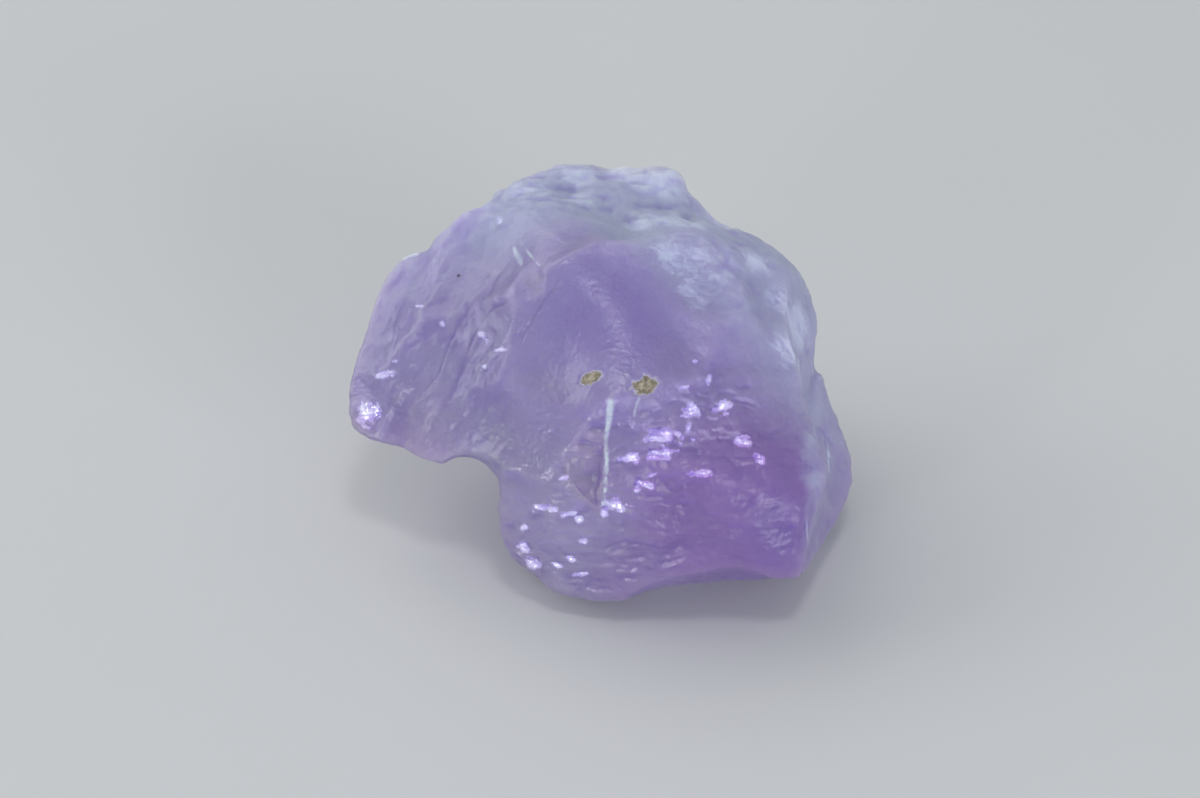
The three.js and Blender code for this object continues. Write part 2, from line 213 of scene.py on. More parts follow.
def stone_distance(p):
    """Distance outside the stone, below 0 inside it."""
    q = bent(p)
    d = None
    for planes in LUMP_PLANES:
        e = lump_distance(q, planes, RIDGE_SOFT)
        d = e if d is None else soft_min(d, e, JOIN_SOFT)
    d = d - step_height(p)
    fill = TIP_FILL * np.exp(-((along(p, TIP)[0] / TIP_REACH) ** 2))
    d = soft_max(d, -lump_distance(q, WEDGE_PLANES, WEDGE_SOFT / 2) - fill, WEDGE_SOFT)
    for start, end, radius, rim in HOLLOWS:
        start, end = np.array(start, float), np.array(end, float)
        bar = end - start
        t = np.clip((q - start) @ bar / max(bar @ bar, 1e-9), 0, 1)
        d = soft_max(d, radius - np.linalg.norm(q - start - t[:, None] * bar, axis=1), rim)
    return d


def outward(p, d, h=0.02):
    """The way the skin faces at p, where the distance is d."""
    n = np.stack([stone_distance(p + h * np.eye(3)[k]) - d for k in range(3)], 1)
    return unit_rows(n)


# ---------------------------------------------------------------- noise and ramps
def lattice(seed):
    """The order and the slopes that gradient noise is made from."""
    rng = np.random.default_rng(seed)
    g = rng.normal(size=(256, 3))
    return rng.permutation(256), g / np.linalg.norm(g, axis=1, keepdims=True)


def noise(p, seed):
    """Gradient noise, about -1 to 1."""
    order, slopes = lattice(seed)
    cell = np.floor(p).astype(int)
    f = p - cell
    u = f * f * f * (f * (f * 6 - 15) + 10)
    total = 0
    for dx in (0, 1):
        for dy in (0, 1):
            for dz in (0, 1):
                h = order[(cell[:, 0] + dx) & 255]
                h = order[(h + cell[:, 1] + dy) & 255]
                h = order[(h + cell[:, 2] + dz) & 255]
                corner = np.array([dx, dy, dz])
                dot = (slopes[h] * (f - corner)).sum(1)
                w = np.prod(np.where(corner == 1, u, 1 - u), axis=1)
                total = total + w * dot
    return total * 1.6


def ramp(x, low, high):
    """Smooth step from 0 at low to 1 at high."""
    t = np.clip((x - low) / (high - low), 0, 1)
    return t * t * (3 - 2 * t)


def near(p, middle, inner, outer):
    """1 within inner of middle, 0 past outer."""
    return 1 - ramp(np.linalg.norm(p - np.array(middle, float), axis=1), inner, outer)


def stair(t, steep):
    """A staircase with its mean slope taken off: long treads, and risers of the given share."""
    part = t - np.floor(t)
    return ramp(part, 1 - steep, 1) - part


# ---------------------------------------------------------------- camera and lamps
def aim(bearing, height):
    """Unit vector away from the stone; the bearing runs from the camera's side towards +X, in degrees."""
    b, h = math.radians(bearing), math.radians(height)
    return np.array([math.sin(b) * math.cos(h), -math.cos(b) * math.cos(h), math.sin(h)])


LOOKED_AT = np.array([0, 0, 0.0095])  # metres
# Bearing and height in degrees, distance in metres.
CAMERA = (0, 38, 0.227)
WINDOW = (-140, 44, 0.9)
SPARK = (10, 74, 0.6)
SIDE = (-97, 25, 0.9)
KICK = (-35, 10, 0.7)
FILL = (34, 9, 0.8)


def spot(place):
    """Millimetre position of a lamp or the camera."""
    return (LOOKED_AT + aim(*place[:2]) * place[2]) / MM


def mirror_face(p, n):
    """The way a chip at p, in skin that faces n, faces so that it shows one of the lamps."""
    def unit(v):
        return v / np.linalg.norm(v)
    halves = [unit(unit(spot(CAMERA) - p) + unit(spot(lamp) - p)) for lamp in (SPARK, KICK, SIDE)]
    return max(halves, key=lambda h: h @ n)


# ---------------------------------------------------------------- marks on the stone, millimetres
# Directions as the front is seen from above: to the right, and up and away.
RIGHT = np.array([1, 0, 0])
UPWARD = np.array([0, 0.616, 0.788])
TOWARDS = np.array([0, -0.788, 0.616])
# Small bright chips: middle, half width, half height, turn in degrees.
CHIPS = [
    # lower front
    ((4.1, -10.2, 14.4), 1.15, 0.55, 8), ((3.9, -10.9, 13.5), 0.9, 0.36, 10),
    ((6, -8.7, 15.3), 0.55, 0.42, 5), ((8, -7.9, 15.1), 0.6, 0.34, 20),
    ((8.2, -8.2, 14.7), 0.27, 0.14, 0), ((9.3, -9.3, 13.3), 0.62, 0.34, 0),
    ((10.4, -10, 12.3), 0.41, 0.27, -10), ((5.7, -9.5, 14.5), 0.17, 0.34, 0),
    ((6, -9.9, 13.9), 0.2, 0.1, 0), ((6.6, -11.5, 12.4), 0.7, 0.24, 0),
    ((2.9, -11.9, 11.8), 0.75, 0.26, -14), ((2.4, -12.1, 11.5), 0.2, 0.17, 0),
    ((1.1, -12.3, 10.3), 0.9, 0.38, -12), ((0.3, -11.9, 9.4), 0.27, 0.34, 0),
    ((1.9, -11.2, 13.4), 0.62, 0.34, 0), ((3.4, -11.6, 12.3), 0.27, 0.14, 10),
    ((5.4, -7.8, 16.5), 0.48, 0.14, 5), ((6.2, -5.9, 17.2), 0.2, 0.14, 0),
    ((7.1, -6.7, 16.4), 0.17, 0.27, -20),
    # lower left
    ((-3.9, -10.9, 9), 0.54, 0.2, 8), ((-3.1, -11.4, 9.2), 0.34, 0.16, 0),
    ((-2.1, -11.6, 9), 0.54, 0.17, 8), ((-1.4, -11.8, 8.7), 0.2, 0.24, 0),
    ((-5.1, -10.4, 5), 0.45, 0.4, 0), ((-4.5, -10.6, 3.9), 0.45, 0.4, 0),
    ((-1.1, -11.8, 6.9), 0.4, 0.16, 0), ((-1.9, -11.7, 5.2), 0.34, 0.2, 0),
    ((-2.8, -11.3, 4.3), 0.34, 0.2, -10), ((-1.3, -11.8, 4), 0.45, 0.16, 5),
    ((-2.4, -10.8, 11.4), 0.41, 0.14, 15), ((-5, -10.5, 6.9), 0.3, 0.2, 0),
    # arm
    ((-15.5, -2.8, 10.5), 0.82, 0.68, 6), ((-10.5, -0.7, 16.5), 0.17, 0.17, -30),
    ((-7.8, -2.3, 16.6), 0.17, 0.48, 40), ((-6.6, -4, 16.7), 0.41, 0.14, 5),
    ((-7.7, -4.2, 15.5), 0.14, 0.14, 0), ((-13.7, -1.5, 13.9), 0.2, 0.1, 0),
    ((-14.5, -1.8, 13), 0.61, 0.2, 5), ((-6.8, 5.9, 20.1), 0.17, 0.2, -20),
    ((-12.2, 1.2, 16.5), 0.48, 0.09, -8)]
CHIP_SLOPE = 0.6  # steepest a chip leans from the skin around it
CHIP_DEPTH = 0.3
# Fine open cracks: points, depth, half width. The last one is not dark.
CRACKS = [
    ([(-9.8, -4.5, 13.1), (-9.4, -3.7, 14), (-8.8, -2.7, 15.6), (-8, -1.6, 17), (-7.2, -1.2, 18.1),
      (-5.8, -2, 19.3)], 0.12, 0.16),
    ([(-5.4, -4.3, 17.1), (-4.6, -3.5, 18.4), (-3.6, -2.6, 19.8), (-2.5, -1.7, 20.9)], 0.08, 0.13),
    ([(-11.7, -3.5, 12.8), (-10.7, -2.9, 14), (-10.2, -2.1, 15.3), (-9.5, -1, 16.6)], 0.09, 0.13),
    ([(-14.1, 3.2, 15.5), (-13.6, 0.3, 15.1), (-13.9, -0.9, 14.2)], 0.10, 0.13),
    ([(2.8, -9, 16.4), (2.6, -9.8, 15.4), (2.5, -10.5, 14.4)], 0.05, 0.12)]
# The upright ridge beside the wedge; the white along it is a painted highlight of the ridge catching
# light.
FIN = [(0.65, -9.06, 16.66), (0.58, -9.65, 15.31), (0.36, -10.29, 14.33), (0.45, -11.2, 13.24),
       (0.36, -12.01, 11.55), (0.13, -11.99, 9.85)]
FIN_HEIGHT = 0.12
FIN_WIDTH, FIN_NARROWING = 0.26, 0.14
# Pale veins: points, half width.
VEINS = [
    ([(-5.8, 3.4, 19.7), (-5.6, 2.3, 19.9), (-5.2, 1.1, 20)], 0.26),
    ([(-5.3, 3.4, 20.1), (-4.7, 1.6, 20.5), (-4, -0.3, 20.9)], 0.10),
    ([(13.8, 1.6, 12.9), (13.3, -1.8, 13.8), (12.9, -4.1, 13.8)], 0.14),
    ([(15.6, -1.8, 7.4), (15.5, -3.9, 6)], 0.12),
    ([(13.5, -11.6, 9), (13.7, -11.7, 6.4)], 0.10),
    ([(2.59, -8.77, 16.68), (2.26, -9.41, 15.95), (2.07, -10.12, 14.86)], 0.06),
    ([(-13.3, 6.1, 16.9), (-12.8, 6.5, 16.9), (-12.3, 6.7, 17.2)], 0.45)]
# Two brown grains: middle, half width, half height, turn in degrees.
GRAINS = [((-0.5, -7.7, 17.3), 0.60, 0.38, 28), ((2.9, -8.3, 17.1), 0.88, 0.5, 24)]
# The small dark fleck.
FLECK = (-9.5, 2.7, 17.9)
# Milky veils: middle, radius, strength.
VEILS = [
    ((2.7, 5.8, 19.9), 0.9, 1), ((4.1, 6.3, 19.9), 0.9, 1), ((6, 6.4, 19.5), 1.7, 1),
    ((4.5, 1.3, 20.5), 1.5, 0.7), ((6.7, 2.2, 20.4), 2.2, 0.45), ((8.7, 2.9, 19.5), 1.8, 0.5),
    ((10.5, 4.1, 18.1), 1.4, 0.7), ((8, 0.8, 19.3), 1.7, 0.4), ((6, -0.2, 19.2), 1.3, 0.6),
    ((6.6, -1.2, 18.7), 1.1, 0.5), ((13.2, 1.7, 14.1), 1.5, 0.9), ((12.7, -1.8, 15.4), 1.4, 0.8),
    ((13.6, 3.2, 13.8), 1.6, 0.8), ((12.1, 2.2, 16.2), 1.4, 0.6), ((1.7, 13.2, 18.9), 2, 0.8),
    ((4.1, 12, 19.3), 2.4, 0.8), ((-1.4, 12.3, 19.6), 1.8, 0.7), ((8, 10.9, 16.6), 2, 0.7),
    ((-12.8, 6.5, 16.9), 0.5, 1), ((-7, 12, 14), 2.2, 0.7), ((3, 14, 8), 2.4, 0.6), ((13, 6, 8), 2, 0.6),
    ((-1.4, 8.5, 20), 2, 0.5), ((-4.8, 9.5, 20.2), 2.2, 0.6), ((-11, 8, 13), 1.6, 0.6),
    ((9, 11, 11), 1.8, 0.6), ((-2, 11, 9), 1.5, 0.5)]
# Upper edge of the violet front; milky stone lies behind it.
BROW = [(-13, 6), (-9.5, 6.9), (-7.5, 7), (-4.7, 6.8), (-1.4, 7.3), (1.3, 4.2), (3.5, 0), (6, -3),
        (9, -4.5), (13, -6)]
# Patches of colour: middle, radius of the full colour, radius where it ends; and their strength
# where it is not full.
DEEP_FRONT = ((9, -12, 10), 2, 11)
DEEP_FOOT = ((3, -12, 6), 2, 7)
# Painted shade: these two patches darken the smooth middle and the lower right corner of the front, which
# the lamps light brightly.
SHADE_PAINTED_MIDDLE = ((0.2, -4.2, 19.6), 1.5, 6.5)
SHADE_PAINTED_CORNER = ((12, -12.9, 8.6), 1, 3.6)
PALE_ARM = ((-3, -10, 8.5), 2.5, 8)
PINK_ARM = ((-11.5, -4.6, 11), 1, 4.2)
TAN_MARK = ((-4.3, -1.2, 20.1), 0.2, 1.4)
DEEP_FOOT_SHARE, SHADE_PAINTED_MIDDLE_SHARE, SHADE_PAINTED_CORNER_SHARE = 0.4, 0.6, 0.8
PINK_WEDGE_SHARE, TAN_SHARE, VEIN_SHARE, CRACK_SHARE = 0.75, 0.6, 0.85, 0.3


def turned(p, middle, wide, high, degrees):
    """Place by a tilted oval on the front: across and up, 1 at its rim, and millimetres off it."""
    a = math.radians(degrees)
    right = RIGHT * math.cos(a) + UPWARD * math.sin(a)
    upward = UPWARD * math.cos(a) - RIGHT * math.sin(a)
    r = p - np.array(middle, float)
    return r @ right / wide, r @ upward / high, r @ TOWARDS


def chip_rim(p):
    """Noise that makes the rims of the chips ragged."""
    return noise(p * np.array([1.6, 2.6, 2.6]), 26) + 0.5 * noise(p * 4.5, 37)


def chip_share(p, chip, ragged):
    """1 on the chip, 0 past its ragged rim."""
    u, v, off = turned(p, *chip)
    return ramp(1.15 + 0.7 * ragged - np.hypot(u, v), 0, 0.4) * (np.abs(off) < 2)


def zones(p):
    """Shares of the lower front, the arm, the smooth middle, the right strip and the frosted parts."""
    x, y, z = p.T
    top = 9.5 + 7 * np.clip((x + 4) / 4, 0, 1)
    lower = ramp(-y, 4.5, 7) * ramp(top - z, -0.4, 0.6)
    arm = ramp(-x, 4.5, 7.5) * ramp(z, 8, 10) * (1 - lower)
    strip = ramp(x, 12.8, 13.8) * ramp(16 - z, 0, 2)
    frost = np.maximum(ramp(y, 3, 7.5) * ramp(z, 15, 17.5), ramp(x, 5, 9) * ramp(z, 16, 19))
    frost = np.maximum(frost, ramp(y, 7, 11))
    middle = ramp(z, 12, 15) * (1 - lower) * (1 - arm) * (1 - frost)
    return lower * (1 - strip), arm, middle, strip, frost


# Directions of the arm: along its flow lines, across them, and square to both.
FLOW = np.array([0.574, 0.505, 0.645])
ACROSS = np.array([-0.819, 0.353, 0.452])
ASIDE = np.cross(FLOW, ACROSS)
# Shell-like rings low on the back: centre, pace and height.
SHELL_HEART = np.array([-2, 19, 20])
SHELL_PACE = 1.5
SHELL_HEIGHT = 0.07


def crest(value):
    """Turns soft noise into rounded hills that meet in narrow creases."""
    return np.sqrt(value * value + 0.01) - 0.3


# Heights of the surface detail and the pace of its steps, millimetres.
FRONT_STEP, FRONT_PACE, FRONT_SWELL, FRONT_CREASE, LEFT_LUMP = 0.07, 0.62, 0.12, 0.12, 0.06
ARM_STEP, ARM_PACE, ARM_CREASE, ARM_FINE, ARM_STRIAE = 0.20, 1.9, 0.08, 0.06, 0.05
STRIP_STEP, STRIP_PACE, STRIP_FINE = 0.10, 1.3, 0.06
FROST_COARSE, FROST_FINE = 0.16, 0.10
SKIN_COARSE, SKIN_FINE = 0.05, 0.03
PIT_DEPTH, GRAIN_HEIGHT, CRUMB_COARSE, CRUMB_FINE = 0.16, 0.12, 0.10, 0.05
# The quiet, deep violet part of the front, and the striated foot of the arm.
QUIET = (9.5, -12.5, 7)
ARM_FOOT = (-8.5, -6, 11.8)


def front_relief(p, lower, wander, ripple):
    """Rippled growth steps of the lower front, nearly level; its left is lumpier."""
    rows = p @ np.array([0.08, 0.45, 0.88]) + 0.5 * wander + 0.22 * ripple
    sway = p[:, 0] + 0.6 * ripple
    patch = ramp(noise(p * np.array([0.3, 0.35, 0.6]), 13), -0.4, 0.4)
    broad = noise(np.stack([sway * 0.5, p[:, 1] * 0.5, rows * 1.0], 1), 14)
    fine = noise(np.stack([sway * 1.0, p[:, 1] * 0.9, rows * 2.0], 1), 24)
    calm = 1 - 0.55 * near(p, QUIET, 1, 6.5)
    steps = FRONT_STEP * stair(rows / FRONT_PACE, 0.4) * patch
    out = lower * calm * (steps + FRONT_SWELL * broad - FRONT_CREASE * crest(fine))
    lumps = noise(p * np.array([1.2, 1.2, 1.5]), 40)
    return out + lower * ramp(-p[:, 0], -1, 2) * LEFT_LUMP * lumps


def arm_relief(p, arm, wander, ripple):
    """Flow lines and broken steps up to the right, with upright striae at the foot of the arm."""
    a = p @ ACROSS + 0.8 * wander + 0.35 * ripple
    b = p @ FLOW
    c = p @ ASIDE
    patch = ramp(noise(np.stack([a * 0.4, b * 0.18, c * 0.3], 1), 15), -0.25, 0.35)
    broad = noise(np.stack([a * 0.9, b * 0.35, c * 0.5], 1), 16)
    fine = noise(np.stack([a * 1.9, b * 0.7, c], 1), 28)
    steps = ARM_STEP * stair(a / ARM_PACE, 0.25) * patch
    striae = near(p, ARM_FOOT, 1, 2.8) * ARM_STRIAE * noise(p * np.array([3.4, 0.6, 0.5]), 23)
    return arm * (steps + ARM_CREASE * crest(broad) + ARM_FINE * fine + striae)


def strip_relief(p, strip, wander, ripple):
    """Upright steps and striae of the right side."""
    side = p[:, 1] + 0.15 * p[:, 2] + 0.5 * wander + 0.25 * ripple
    steps = STRIP_STEP * stair(side / STRIP_PACE, 0.3) * ramp(ripple, -0.4, 0.5)
    return strip * (steps + STRIP_FINE * noise(p * np.array([2.6, 3, 0.5]), 36))


def back_relief(p, frost, wander, ripple):
    """Frosted, pitted skin of the top and back, with shell-like rings low on the back."""
    pitted = frost * (FROST_COARSE * noise(p * 0.75, 18) + FROST_FINE * noise(p * 1.6, 19))
    out = np.linalg.norm(p - SHELL_HEART, axis=1) + 0.35 * ripple
    rings = SHELL_HEIGHT * np.sin(2 * math.pi * out / SHELL_PACE)
    return pitted + rings * ramp(p[:, 1], 4, 9) * ramp(wander, -0.5, 0.2)


def crack_depth(p):
    out = np.zeros(len(p))
    for line, depth, wide in CRACKS:
        gap, share = along(p, line)
        gap = gap + 0.06 * noise(p * 2, 25)
        out += depth * (1 - ramp(gap, 0, wide)) * ramp(np.minimum(share, 1 - share), 0, 0.15)
    return out


def chipped(p, n, out):
    """The skin's height with the chips in it: a flat face each, turned to mirror a lamp."""
    ragged = chip_rim(p)
    for chip in CHIPS:
        share = chip_share(p, chip, ragged)
        on = share > 0
        if on.any():
            heart = np.array(chip[0])
            face = mirror_face(heart, n[on].mean(0))
            facing = np.maximum(n[on] @ face, 0.3)
            slope = np.sqrt(np.maximum(1 - facing**2, 1e-4)) / facing
            tilt = -((p[on] - heart) @ face) / facing * np.minimum(1, CHIP_SLOPE / slope)
            tilt = np.clip(tilt, -CHIP_DEPTH, CHIP_DEPTH)
            out[on] = out[on] * (1 - share[on]) + share[on] * tilt
    return out


def grain_relief(p):
    """Rough brown grains, sunk in pits."""
    out = np.zeros(len(p))
    crumb = CRUMB_COARSE * noise(p * 3, 22) + CRUMB_FINE * noise(p * 6, 27)
    for grain in GRAINS:
        gap = grain_gap(p, grain)
        out -= PIT_DEPTH * (1 - ramp(gap, 0.9, 1.35))
        out += (GRAIN_HEIGHT + crumb) * (1 - ramp(gap, 0.6, 1))
    return out


def relief(p, n):
    """How far the skin stands out at p, where it faces n."""
    lower, arm, middle, strip, frost = zones(p)
    wander = noise(p * 0.35, 11)
    ripple = noise(p * 0.9, 12)
    out = front_relief(p, lower, wander, ripple) + arm_relief(p, arm, wander, ripple)
    out += strip_relief(p, strip, wander, ripple) + back_relief(p, frost, wander, ripple)
    # everywhere, a faint unevenness
    out += SKIN_COARSE * noise(p * 0.6, 20) + SKIN_FINE * noise(p * 1.5, 21) * (1 - 0.4 * middle)
    out += FIN_HEIGHT * fin_share(p) - crack_depth(p)
    return chipped(p, n, out) + grain_relief(p)


def fin_share(p):
    """1 on the crest of the ridge, where its highlight is painted; it narrows downwards."""
    gap, share = along(p, FIN)
    wide = (FIN_WIDTH - FIN_NARROWING * ramp(share, 0, 0.4)) * (1.1 + 0.35 * noise(p * 1.4, 29))
    return (1 - ramp(gap, 0.5 * wide, 1.3 * wide)) * ramp(1 - share, 0, 0.08) * ramp(share, -0.01, 0.03)


def grain_gap(p, grain):
    """Distance from the middle of a brown grain, about 1 at its ragged rim."""
    u, v, off = turned(p, *grain)
    ragged = 0.55 * noise(p * 1.7, 34) + 0.25 * noise(p * 4, 35)
    return np.hypot(u, v) + ragged + 9 * ramp(np.abs(off), 1.5, 2)


# ---------------------------------------------------------------- mesh of the stone
# Longest edges of the mesh, millimetres, and how much shorter they are where the stone is seen.
EDGE = 0.48
EDGE_LESS_SEEN, EDGE_LESS_FRONT, EDGE_LESS_ARM, EDGE_LESS_STRIP = 0.08, 0.22, 0.12, 0.08
EDGE_CHIP, EDGE_LINE, EDGE_FLECK, EDGE_FIN = 0.12, 0.16, 0.06, 0.09
SPLIT_ROUNDS = 7
RELAX_ROUNDS = 3
SOFTEN_ROUNDS = 3
AT_REST = 1e-3  # a corner lower than this lies in the resting face
SETTLE_MOST = 0.3  # farthest that a corner moves in one round
RELAX_SHARE = 0.6  # share of the way to the middle of the neighbours, in one round
RELAX_MOST = 0.05
SOFTEN_SHARE = 0.6
# painted crease shade is full where a crease is this deep
CREASE_DEPTH = 0.13  # a crease this deep is painted as fully low
GRAIN_CLEAR = 1.5  # grain radii within which nothing is softened
FOLD_SHARE = 0.94  # a corner is folded when its faces agree less than this
SWAP_FACING = 0.8  # least agreement of the swapped triangles with the old pair
SWAP_GAIN = 0.02  # least excess over pi of the two angles that face a swapped edge
TIP_NEAR = 2.5  # how near the soft tip a coarse corner is settled first
FOOT_FADE = 0.8  # height over which the surface detail starts above the floor


def welded(obj):
    """Corners (mm) and triangles of a CAD node with shared corners joined."""
    mesh = obj.data
    mesh.calc_loop_triangles()
    co = np.zeros(len(mesh.vertices) * 3)
    mesh.vertices.foreach_get("co", co)
    tri = np.zeros(len(mesh.loop_triangles) * 3, int)
    mesh.loop_triangles.foreach_get("vertices", tri)
    co = co.reshape(-1, 3) / MM
    _, first, same = np.unique(np.round(co, 3), axis=0, return_index=True, return_inverse=True)
    tri = same.reshape(-1)[tri].reshape(-1, 3)
    tri = tri[(tri[:, 0] != tri[:, 1]) & (tri[:, 1] != tri[:, 2]) & (tri[:, 2] != tri[:, 0])]
    return co[first], tri


def longest_edge(p):
    """Longest edge wanted at p: short where the fine detail is."""
    lower, arm, _, strip, _ = zones(p)
    seen = ramp(p @ TOWARDS, -3, 5)
    out = EDGE - EDGE_LESS_SEEN * seen
    out -= (EDGE_LESS_FRONT * lower + EDGE_LESS_ARM * arm + EDGE_LESS_STRIP * strip) * seen
    for middle, wide, high, _ in CHIPS + GRAINS:
        reach = max(wide, high)
        out = np.minimum(out, EDGE_CHIP + 0.3 * (1 - near(p, middle, reach, reach + 0.3)))
    for line, *_ in CRACKS + VEINS:
        out = np.minimum(out, EDGE_LINE + 0.25 * ramp(along(p, line)[0], 0.3, 0.8))
    out = np.minimum(out, EDGE_FLECK + 0.25 * (1 - near(p, FLECK, 0.15, 0.4)))
    return np.minimum(out, EDGE_FIN + 0.25 * ramp(along(p, FIN)[0], 0.25, 0.8))


def sides_of(tri):
    """The three edges of every triangle: all first edges, then all second, then all third."""
    return np.concatenate([tri[:, [0, 1]], tri[:, [1, 2]], tri[:, [2, 0]]])


def resting(co, tri):
    """Which triangles lie in the resting face."""
    return (np.abs(co[tri][:, :, 2]) < AT_REST).all(1)


def gathered(index, values, size):
    """Sum of the values at each corner, axis by axis."""
    return np.stack([np.bincount(index, values[:, k], size) for k in range(3)], 1)


def face_normals(co, tri):
    """Normals of the triangles, as long as twice their area."""
    a, b, c = co[tri[:, 0]], co[tri[:, 1]], co[tri[:, 2]]
    return np.cross(b - a, c - a)


def split(co, tri, flat):
    """Splits every edge that is too long, but for those of the resting face."""
    edges = np.sort(sides_of(tri), axis=1)
    pairs, back = np.unique(edges, axis=0, return_inverse=True)
    back = back.reshape(3, -1).T
    middle = co[pairs].mean(1)
    long = np.linalg.norm(co[pairs[:, 0]] - co[pairs[:, 1]], axis=1) > longest_edge(middle)
    on_side = np.zeros(len(pairs), bool)
    on_side[back[~flat].ravel()] = True
    long &= on_side
    new = np.full(len(pairs), -1)
    new[long] = len(co) + np.arange(long.sum())
    # m has the new corner on each edge of each triangle, or -1
    m = new[back]
    count = (m >= 0).sum(1)
    out = [tri[count == 0]]
    whole, cut = tri[count == 3], m[count == 3]
    for k in range(3):
        out.append(np.stack([whole[:, k], cut[:, k], cut[:, k - 1]], 1))
    out.append(cut)
    for k in range(3):
        one = (count == 1) & (m[:, k] >= 0)
        a, b, c = np.roll(tri[one], -k, 1).T
        out += [np.stack([a, m[one, k], c], 1), np.stack([m[one, k], b, c], 1)]
        two = (count == 2) & (m[:, k] < 0)
        a, b, c = np.roll(tri[two], -k - 1, 1).T
        ab, bc, _ = np.roll(m[two], -k - 1, 1).T
        out += [np.stack([ab, b, bc], 1), np.stack([a, ab, bc], 1), np.stack([a, bc, c], 1)]
    return np.concatenate([co, middle[long]]), np.concatenate(out)


def settle(co, free, rim, rounds):
    """Moves free corners onto the stone's skin; corners of the rim keep their height."""
    moving = np.where(free)[0]
    for _ in range(rounds):
        p = co[moving]
        d = stone_distance(p)
        n = outward(p, d)
        n[rim[moving], 2] = 0
        co[moving] = p - unit_rows(n) * np.clip(d, -SETTLE_MOST, SETTLE_MOST)[:, None]
    return co


def swap(co, tri, held):
    """Swaps the shared edge of two thin triangles for the other diagonal."""
    ends = sides_of(tri)
    apex = np.concatenate([tri[:, 2], tri[:, 0], tri[:, 1]])
    owner = np.tile(np.arange(len(tri)), 3)
    key = ends.min(1) * len(co) + ends.max(1)
    order = np.argsort(key, kind="stable")
    pair = np.where(key[order[1:]] == key[order[:-1]])[0]
    i, j = order[pair], order[pair + 1]
    (a, b), c, d = ends[i].T, apex[i], apex[j]

    def corner(o):
        """Angle at corner o between the ends of the edge."""
        u, v = co[a] - co[o], co[b] - co[o]
        return np.arctan2(np.linalg.norm(np.cross(u, v), axis=1), (u * v).sum(1))

    def facing(p, q, r):
        return unit_rows(np.cross(co[q] - co[p], co[r] - co[p]))

    excess = corner(c) + corner(d) - math.pi
    old = unit_rows(facing(a, b, c) + facing(b, a, d))
    agree = np.minimum((facing(a, d, c) * old).sum(1), (facing(d, b, c) * old).sum(1))
    wanted = (excess > SWAP_GAIN) & (agree > SWAP_FACING) & ~held[owner[i]] & ~held[owner[j]]
    wanted &= ~np.isin(np.minimum(c, d) * len(co) + np.maximum(c, d), key)
    excess = np.where(wanted, excess, 0)
    best = np.zeros(len(tri))
    np.maximum.at(best, owner[i], excess)
    np.maximum.at(best, owner[j], excess)
    go = wanted & (excess == best[owner[i]]) & (excess == best[owner[j]])
    tri = tri.copy()
    tri[owner[i[go]]] = np.stack([a[go], d[go], c[go]], 1)
    tri[owner[j[go]]] = np.stack([d[go], b[go], c[go]], 1)
    return tri


def relax(co, tri, free):
    """Evens out the corners along the skin."""
    ends = sides_of(tri)
    count = np.bincount(ends.ravel(), minlength=len(co))[:, None]
    away = gathered(ends.ravel(), co[ends[:, ::-1].ravel()], len(co)) / count - co
    face = face_normals(co, tri)
    n = unit_rows(gathered(tri.ravel(), np.repeat(face, 3, axis=0), len(co)))
    away -= n * (away * n).sum(1, keepdims=True)
    p = co[free] + RELAX_SHARE * away[free]
    co[free] = p - n[free] * np.clip(stone_distance(p), -RELAX_MOST, RELAX_MOST)[:, None]
    return co


def soften(co, tri, free):
    """Eases the tightest folds: their corners move towards the middle of their neighbours."""
    ends = sides_of(tri)
    count = np.bincount(ends.ravel(), minlength=len(co))[:, None]
    faces = np.bincount(tri.ravel(), minlength=len(co))
    for _ in range(SOFTEN_ROUNDS):
        face = unit_rows(face_normals(co, tri))
        n = gathered(tri.ravel(), np.repeat(face, 3, axis=0), len(co))
        folded = free & (np.linalg.norm(n, axis=1) < FOLD_SHARE * faces)
        middle = gathered(ends.ravel(), co[ends[:, ::-1].ravel()], len(co))
        co[folded] += SOFTEN_SHARE * (middle / count - co)[folded]
    return co


def stone_mesh(node):
    """The CAD skin split finer, set on the stone's own skin and given its surface detail."""
    co, tri = welded(node)
    # coarse corners by the wedge's soft tip go onto the skin first
    tip = along(co, TIP)[0] < TIP_NEAR
    co = settle(co, tip, np.zeros(len(co), bool), 4)
    for _ in range(SPLIT_ROUNDS):
        was = len(co)
        co, tri = split(co, tri, resting(co, tri))
        if len(co) == was:
            break
        flat = resting(co, tri)
        on_side = np.zeros(len(co), bool)
        on_side[tri[~flat].ravel()] = True
        rim = on_side & (np.abs(co[:, 2]) < AT_REST)
        new = on_side & (np.arange(len(co)) >= was)
        co = settle(co, new, rim, 1)
        tri = swap(co, tri, flat)
    inner = on_side & ~rim
    for _ in range(RELAX_ROUNDS):
        for _ in range(2):
            tri = swap(co, tri, resting(co, tri))
        co = relax(co, tri, inner)
    tri = swap(co, tri, resting(co, tri))
    co = settle(co, on_side, rim, 1)
    p = co[inner]
    n = outward(p, stone_distance(p))
    height = relief(p, n) * ramp(p[:, 2], 0.0, FOOT_FADE)
    co[inner] = p + n * height[:, None]
    # painted shade in the creases: 1 where the relief sinks the skin by CREASE_DEPTH or more
    low = np.zeros(len(co))
    low[inner] = ramp(-height, 0.0, CREASE_DEPTH)
    # neither the ridge nor the grains are softened
    for grain in GRAINS:
        inner &= grain_gap(co, grain) > GRAIN_CLEAR
    co = soften(co, tri, inner & (fin_share(co) == 0))
    mesh = bpy.data.meshes.new("stone")
    mesh.from_pydata((co * MM).tolist(), [], tri.tolist())
    mesh.update()
    mesh.shade_smooth()
    paint(mesh, co, low)
    return mesh


